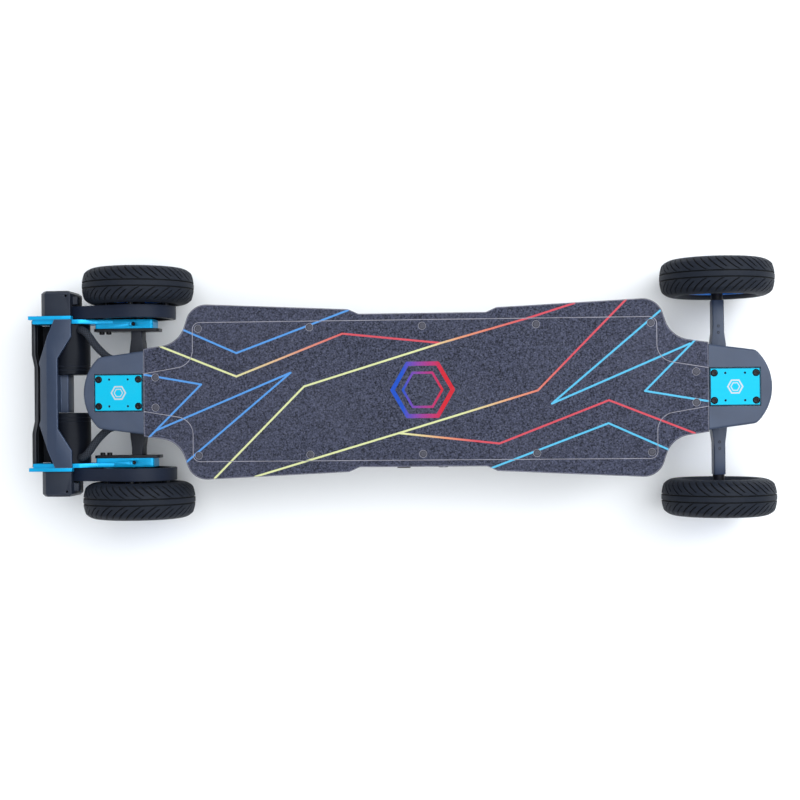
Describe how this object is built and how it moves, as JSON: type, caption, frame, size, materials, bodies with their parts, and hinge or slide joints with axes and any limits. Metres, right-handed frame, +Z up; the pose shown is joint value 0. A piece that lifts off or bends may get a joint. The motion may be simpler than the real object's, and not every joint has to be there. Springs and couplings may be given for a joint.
{
  "type": "electric skateboard",
  "caption": "Flat waisted deck on steering trucks, pneumatic treaded wheels, belt drive from motors behind the rear axle, battery inside the hollow deck.",
  "frame": {"origin": "on the ground under the middle of the object's bounding box", "axes": "+X towards the nose, +Y to the left facing the nose, +Z up"},
  "size_m": [1.1596, 0.394, 0.175],
  "materials": {
    "deck_shell": "carbon composite, satin",
    "deck_lid": "composite sheet",
    "grip": "speckled grit with thin coloured lines",
    "fastener": "black oxide",
    "end_cap": "satin metallic",
    "blue_plate": "anodised, fine satin",
    "cell_wrap": "shrink wrap",
    "controller": "anodised black",
    "steel": "plain",
    "button": "gloss",
    "port_rubber": "matte",
    "truck_black": "powder coat",
    "bushing": "urethane",
    "blue_anodised": "anodised, machined",
    "motor_can": "satin black",
    "guard_grey": "satin metallic grey",
    "bumper_black": "satin black",
    "cover_plastic": "fine textured",
    "belt_rubber": "moulded",
    "braided_sleeve": "braided",
    "rotor_steel": "plain",
    "pulley_metal": "hard anodised",
    "tyre": "treaded rubber",
    "rim_blue": "anodised",
    "bearing_steel": "ground"
  },
  "bodies": {
    "deck": {"deck_shell": "deck_shell", "deck_lid": "deck_lid", "lid_screws": "fastener", "grip_rim": "grip", "grip_lid": "grip", "nose_cap": "end_cap", "tail_cap": "end_cap", "front_truck_plate": "blue_plate", "rear_truck_plate": "blue_plate", "truck_bolts": "fastener", "battery_cells": "cell_wrap", "motor_controller": "controller", "charge_port": "port_rubber", "button_ring": "steel", "front_baseplate": "truck_black", "rear_baseplate": "truck_black", "kingpins": "steel", "pivot_cups": "bushing", "front_bushings": "bushing", "rear_bushings": "bushing"},
    "power_button": {"power_button": "button"},
    "front_truck": {"front_hanger": "truck_black", "front_axle": "steel", "front_axle_nuts": "fastener"},
    "rear_truck": {"rear_hanger": "truck_black", "rear_axle": "steel", "rear_axle_nuts": "fastener", "left_axle_clamp": "blue_anodised", "right_axle_clamp": "blue_anodised", "clamp_jaws": "bumper_black", "left_motor_plate": "blue_anodised", "right_motor_plate": "blue_anodised", "left_motor_housing": "motor_can", "right_motor_housing": "motor_can", "motor_guard": "guard_grey", "rear_bumper": "bumper_black", "left_pulley_cover": "cover_plastic", "right_pulley_cover": "cover_plastic", "left_belt": "belt_rubber", "right_belt": "belt_rubber", "mount_screws": "fastener", "motor_cables": "braided_sleeve"},
    "left_rotor": {"left_motor_rotor": "rotor_steel", "left_motor_pulley": "pulley_metal"},
    "right_rotor": {"right_motor_rotor": "rotor_steel", "right_motor_pulley": "pulley_metal"},
    "front_left_wheel": {"front_left_tyre": "tyre", "front_left_rim": "rim_blue", "front_left_bearings": "bearing_steel"},
    "front_right_wheel": {"front_right_tyre": "tyre", "front_right_rim": "rim_blue", "front_right_bearings": "bearing_steel"},
    "rear_left_wheel": {"rear_left_tyre": "tyre", "rear_left_rim": "rim_blue", "rear_left_bearings": "bearing_steel", "left_wheel_pulley": "pulley_metal"},
    "rear_right_wheel": {"rear_right_tyre": "tyre", "rear_right_rim": "rim_blue", "rear_right_bearings": "bearing_steel", "right_wheel_pulley": "pulley_metal"}
  },
  "joints": [
    {"name": "front_truck_steer", "type": "hinge", "parent": "deck", "child": "front_truck", "pos_m": [0.49225, 0, 0.0875], "axis": [0.7071, 0, 0.7071], "range_deg": [-12, 12], "stiffness_Nm_per_rad": 60, "deforming": ["front_bushings"]},
    {"name": "rear_truck_steer", "type": "hinge", "parent": "deck", "child": "rear_truck", "pos_m": [-0.41375, 0, 0.0875], "axis": [-0.7071, 0, 0.7071], "range_deg": [-12, 12], "stiffness_Nm_per_rad": 60, "deforming": ["rear_bushings", "motor_cables"]},
    {"name": "power_button_press", "type": "slide", "parent": "deck", "child": "power_button", "axis": [0, 1, 0], "range_m": [0, 0.0012], "stiffness_N_per_m": 400},
    {"name": "front_left_wheel_spin", "type": "hinge", "parent": "front_truck", "child": "front_left_wheel", "pos_m": [0.49225, 0.1685, 0.0875], "axis": [0, 1, 0], "continuous": true},
    {"name": "front_right_wheel_spin", "type": "hinge", "parent": "front_truck", "child": "front_right_wheel", "pos_m": [0.49225, -0.1685, 0.0875], "axis": [0, 1, 0], "continuous": true},
    {"name": "rear_left_wheel_spin", "type": "hinge", "parent": "rear_truck", "child": "rear_left_wheel", "pos_m": [-0.41375, 0.1685, 0.0875], "axis": [0, 1, 0], "continuous": true},
    {"name": "rear_right_wheel_spin", "type": "hinge", "parent": "rear_truck", "child": "rear_right_wheel", "pos_m": [-0.41375, -0.1685, 0.0875], "axis": [0, 1, 0], "continuous": true},
    {"name": "left_motor_spin", "type": "hinge", "parent": "rear_truck", "child": "left_rotor", "pos_m": [-0.52271, 0.11, 0.0915], "axis": [0, 1, 0], "continuous": true},
    {"name": "right_motor_spin", "type": "hinge", "parent": "rear_truck", "child": "right_rotor", "pos_m": [-0.52271, -0.11, 0.0915], "axis": [0, 1, 0], "continuous": true}
  ],
  "couplings": [
    {"joint": "left_motor_spin", "follows": "rear_left_wheel_spin", "ratio": 4},
    {"joint": "right_motor_spin", "follows": "rear_right_wheel_spin", "ratio": 4}
  ]
}
